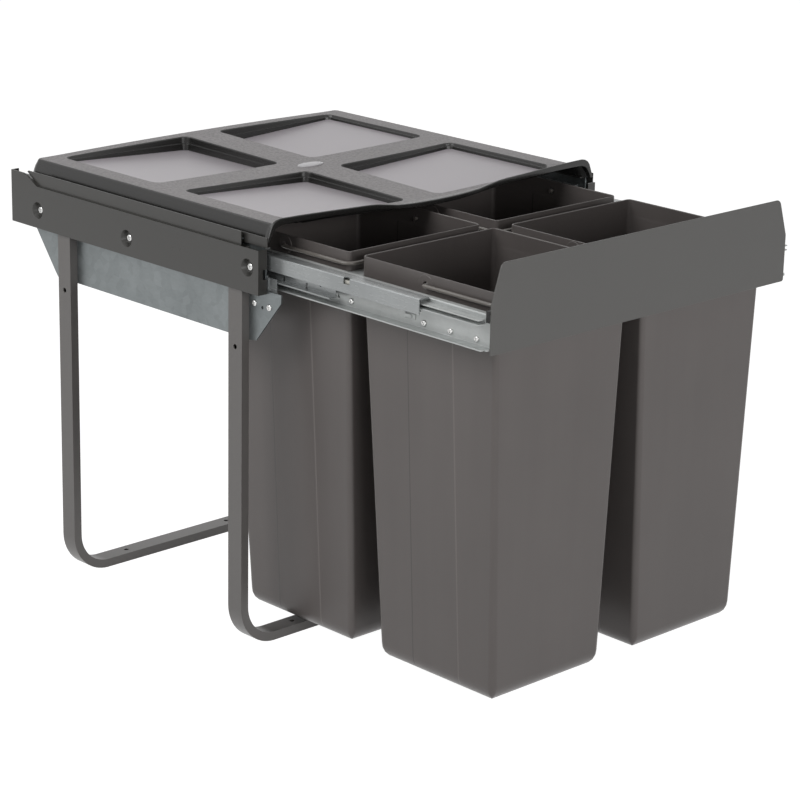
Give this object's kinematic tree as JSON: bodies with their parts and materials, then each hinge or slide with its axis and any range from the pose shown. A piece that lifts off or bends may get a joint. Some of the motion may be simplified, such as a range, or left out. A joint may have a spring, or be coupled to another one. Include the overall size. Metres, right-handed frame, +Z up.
{
  "type": "pull out trash cabinet",
  "caption": "Pull-out waste cabinet: tube hoops and ball slides carry a sheet frame with tapered bins under a panelled lid.",
  "frame": {"origin": "on the floor, in the middle of the pattern of floor screws", "axes": "+Z up, -Y towards the front panel and the way the bins pull out, X across the cabinet, symmetric about X = 0"},
  "size_m": [0.562, 0.8034, 0.541],
  "materials": {
    "hoop_paint": "satin powder coat",
    "zinc_plate": "galvanised sheet",
    "cover_paint": "satin powder coat",
    "screw_steel": "zinc plated",
    "runner_steel": "zinc plated sheet",
    "ball_steel": "polished",
    "black_rubber": "matt",
    "spacer_plastic": "matt",
    "lid_plastic": "fine grained",
    "lid_inlay": "satin",
    "badge_plastic": "satin",
    "panel_paint": "satin powder coat",
    "bin_plastic": "fine grained",
    "handle_wire": "lacquered wire"
  },
  "bodies": {
    "frame": {"front_leg_hoop": "hoop_paint", "rear_leg_hoop": "hoop_paint", "left_side_plate": "zinc_plate", "right_side_plate": "zinc_plate", "left_rail_cover": "cover_paint", "right_rail_cover": "cover_paint", "cover_spacers": "spacer_plastic", "cover_screws": "screw_steel", "plate_screws": "screw_steel", "left_fixed_runner": "runner_steel", "right_fixed_runner": "runner_steel", "runner_buffers": "black_rubber", "lid_frame": "lid_plastic", "left_lid_clip": "lid_plastic", "right_lid_clip": "lid_plastic", "lid_panel_front_left": "lid_inlay", "lid_panel_front_right": "lid_inlay", "lid_panel_rear_left": "lid_inlay", "lid_panel_rear_right": "lid_inlay", "lid_badge": "badge_plastic"},
    "carriage": {"left_inner_runner": "runner_steel", "right_inner_runner": "runner_steel", "left_carriage_rail": "runner_steel", "right_carriage_rail": "runner_steel", "runner_front_stops": "black_rubber", "rail_screws": "screw_steel", "rail_clips": "runner_steel", "left_front_bracket": "runner_steel", "right_front_bracket": "runner_steel", "front_cross_member": "runner_steel", "middle_cross_member": "runner_steel", "rear_cross_member": "runner_steel", "front_panel": "panel_paint", "panel_screws": "screw_steel", "rear_left_bin": "bin_plastic", "rear_right_bin": "bin_plastic"},
    "left_middle_runner": {"left_middle_runner": "runner_steel"},
    "left_outer_cage": {"left_outer_cage": "runner_steel", "left_outer_balls": "ball_steel"},
    "left_inner_cage": {"left_inner_cage": "runner_steel", "left_inner_balls": "ball_steel"},
    "right_middle_runner": {"right_middle_runner": "runner_steel"},
    "right_outer_cage": {"right_outer_cage": "runner_steel", "right_outer_balls": "ball_steel"},
    "right_inner_cage": {"right_inner_cage": "runner_steel", "right_inner_balls": "ball_steel"},
    "front_left_bin": {"front_left_bin": "bin_plastic"},
    "front_right_bin": {"front_right_bin": "bin_plastic"},
    "front_left_handle": {"front_left_handle": "handle_wire"},
    "front_right_handle": {"front_right_handle": "handle_wire"},
    "rear_left_handle": {"rear_left_handle": "handle_wire"},
    "rear_right_handle": {"rear_right_handle": "handle_wire"}
  },
  "joints": [
    {"name": "carriage_slide", "type": "slide", "parent": "frame", "child": "carriage", "axis": [0, -1, 0], "range_m": [-0.327, 0.14]},
    {"name": "left_middle_runner_slide", "type": "slide", "parent": "frame", "child": "left_middle_runner", "axis": [0, -1, 0], "range_m": [-0.2391, 0.1026]},
    {"name": "left_outer_cage_slide", "type": "slide", "parent": "frame", "child": "left_outer_cage", "axis": [0, -1, 0], "range_m": [-0.1195, 0.0513]},
    {"name": "left_inner_cage_slide", "type": "slide", "parent": "frame", "child": "left_inner_cage", "axis": [0, -1, 0], "range_m": [-0.2833, 0.1215]},
    {"name": "right_middle_runner_slide", "type": "slide", "parent": "frame", "child": "right_middle_runner", "axis": [0, -1, 0], "range_m": [-0.2391, 0.1026]},
    {"name": "right_outer_cage_slide", "type": "slide", "parent": "frame", "child": "right_outer_cage", "axis": [0, -1, 0], "range_m": [-0.1195, 0.0513]},
    {"name": "right_inner_cage_slide", "type": "slide", "parent": "frame", "child": "right_inner_cage", "axis": [0, -1, 0], "range_m": [-0.2833, 0.1215]},
    {"name": "front_left_bin_lift", "type": "slide", "parent": "carriage", "child": "front_left_bin", "axis": [0, 0, 1], "range_m": [0, 0.5]},
    {"name": "front_right_bin_lift", "type": "slide", "parent": "carriage", "child": "front_right_bin", "axis": [0, 0, 1], "range_m": [0, 0.5]},
    {"name": "front_left_handle_hinge", "type": "hinge", "parent": "front_left_bin", "child": "front_left_handle", "pos_m": [-0.118, -0.416, 0.49], "axis": [-1, 0, 0], "range_deg": [0, 160]},
    {"name": "front_right_handle_hinge", "type": "hinge", "parent": "front_right_bin", "child": "front_right_handle", "pos_m": [0.118, -0.416, 0.49], "axis": [-1, 0, 0], "range_deg": [0, 160]},
    {"name": "rear_left_handle_hinge", "type": "hinge", "parent": "carriage", "child": "rear_left_handle", "pos_m": [-0.118, -0.185, 0.49], "axis": [-1, 0, 0], "range_deg": [0, 15]},
    {"name": "rear_right_handle_hinge", "type": "hinge", "parent": "carriage", "child": "rear_right_handle", "pos_m": [0.118, -0.185, 0.49], "axis": [-1, 0, 0], "range_deg": [0, 15]}
  ],
  "couplings": [
    {"joint": "left_middle_runner_slide", "follows": "carriage_slide", "ratio": 0.73},
    {"joint": "left_outer_cage_slide", "follows": "carriage_slide", "ratio": 0.365},
    {"joint": "left_inner_cage_slide", "follows": "carriage_slide", "ratio": 0.865},
    {"joint": "right_middle_runner_slide", "follows": "carriage_slide", "ratio": 0.73},
    {"joint": "right_outer_cage_slide", "follows": "carriage_slide", "ratio": 0.365},
    {"joint": "right_inner_cage_slide", "follows": "carriage_slide", "ratio": 0.865}
  ]
}
